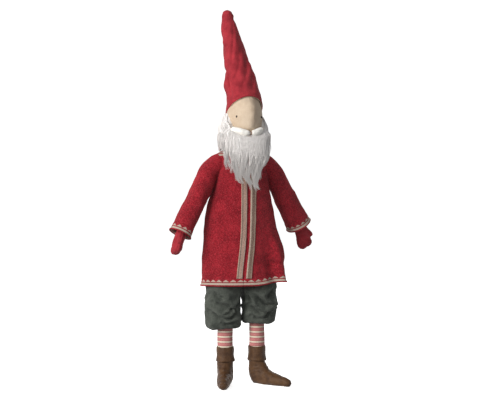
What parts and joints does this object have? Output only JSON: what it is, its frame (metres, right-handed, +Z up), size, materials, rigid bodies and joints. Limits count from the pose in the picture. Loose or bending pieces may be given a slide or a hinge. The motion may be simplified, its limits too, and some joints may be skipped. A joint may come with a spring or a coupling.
{
  "type": "tomte gnome doll",
  "caption": "Standing soft cloth tomte gnome with a tall pointed hat, long wool beard, knitted coat, puffed knee trousers, striped legs and pointed boots.",
  "frame": {"origin": "on the surface that the doll stands on, under the middle of the whole figure", "axes": "+Z up, the doll faces -Y, +X is the doll's left"},
  "size_m": [0.2657, 0.1204, 0.638],
  "materials": {
    "linen": "plain woven skin-coloured linen",
    "stuffing": "polyester fibre stuffing",
    "dark_thread": "dark embroidery thread",
    "tan_thread": "tan sewing thread",
    "felt": "smooth white brushed cloth",
    "wool": "long loose white wool",
    "hat_cloth": "soft woven red wool cloth",
    "mitten_cloth": "soft woven red wool cloth",
    "red_knit": "fine heather red stockinette knit",
    "border_knit": "cream and red patterned knit",
    "woven_band": "narrow striped woven band",
    "green_cloth": "grey-green crumpled linen",
    "elastic": "sewn-in elastic",
    "striped_cloth": "cream and pinkish-red striped cloth",
    "boot_leather": "soft mottled brown leather"
  },
  "bodies": {
    "torso": {"torso_skin": "linen", "torso_filling": "stuffing", "neck": "linen", "coat_body": "red_knit", "coat_skirt_left": "red_knit", "coat_skirt_right": "red_knit", "coat_hem_left": "border_knit", "coat_hem_right": "border_knit", "front_band_left": "woven_band", "front_band_right": "woven_band", "neck_band": "border_knit", "trouser_seat": "green_cloth", "waist_elastic": "elastic"},
    "head": {"head_skin": "linen", "head_filling": "stuffing", "nose": "linen", "eye_left": "dark_thread", "eye_right": "dark_thread", "moustache_left": "felt", "moustache_right": "felt", "moustache_stitch": "tan_thread", "hair": "wool", "beard": "wool", "hat": "hat_cloth", "hat_hem": "hat_cloth", "hat_filling": "stuffing"},
    "arm_left": {"sleeve_left": "red_knit", "sleeve_cuff_left": "border_knit", "arm_skin_left": "linen", "arm_filling_left": "stuffing", "mitten_left": "mitten_cloth"},
    "leg_left": {"trouser_leg_left": "green_cloth", "knee_elastic_left": "elastic", "leg_skin_left": "striped_cloth", "leg_filling_left": "stuffing"},
    "foot_left": {"boot_left": "boot_leather", "boot_cuff_left": "boot_leather", "foot_filling_left": "stuffing"},
    "arm_right": {"sleeve_right": "red_knit", "sleeve_cuff_right": "border_knit", "arm_skin_right": "linen", "arm_filling_right": "stuffing", "mitten_right": "mitten_cloth"},
    "leg_right": {"trouser_leg_right": "green_cloth", "knee_elastic_right": "elastic", "leg_skin_right": "striped_cloth", "leg_filling_right": "stuffing"},
    "foot_right": {"boot_right": "boot_leather", "boot_cuff_right": "boot_leather", "foot_filling_right": "stuffing"}
  },
  "joints": [
    {"name": "head_turn", "type": "hinge", "parent": "torso", "child": "head", "pos_m": [-0.0012, 0.0046, 0.415], "axis": [0, 0, 1], "range_deg": [-58, 42], "deforming": ["beard"]},
    {"name": "shoulder_swing_left", "type": "hinge", "parent": "torso", "child": "arm_left", "pos_m": [0.0488, 0.0106, 0.365], "axis": [-1, 0, 0], "range_deg": [-29, 112]},
    {"name": "hip_swing_left", "type": "hinge", "parent": "torso", "child": "leg_left", "pos_m": [0.0228, 0.0106, 0.205], "axis": [-1, 0, 0], "range_deg": [-20, 90], "deforming": ["coat_skirt_left", "coat_hem_left", "front_band_left", "trouser_seat"]},
    {"name": "foot_twist_left", "type": "hinge", "parent": "leg_left", "child": "foot_left", "pos_m": [0.0228, 0.0106, 0.05], "axis": [0, 0, 1], "range_deg": [-36, 24]},
    {"name": "shoulder_swing_right", "type": "hinge", "parent": "torso", "child": "arm_right", "pos_m": [-0.0592, 0.0106, 0.365], "axis": [-1, 0, 0], "range_deg": [-57, 84]},
    {"name": "hip_swing_right", "type": "hinge", "parent": "torso", "child": "leg_right", "pos_m": [-0.0332, 0.0106, 0.205], "axis": [-1, 0, 0], "range_deg": [-20, 90], "deforming": ["coat_skirt_right", "coat_hem_right", "front_band_right", "trouser_seat"]},
    {"name": "foot_twist_right", "type": "hinge", "parent": "leg_right", "child": "foot_right", "pos_m": [-0.0332, 0.0106, 0.05], "axis": [0, 0, -1], "range_deg": [-16, 44]}
  ]
}
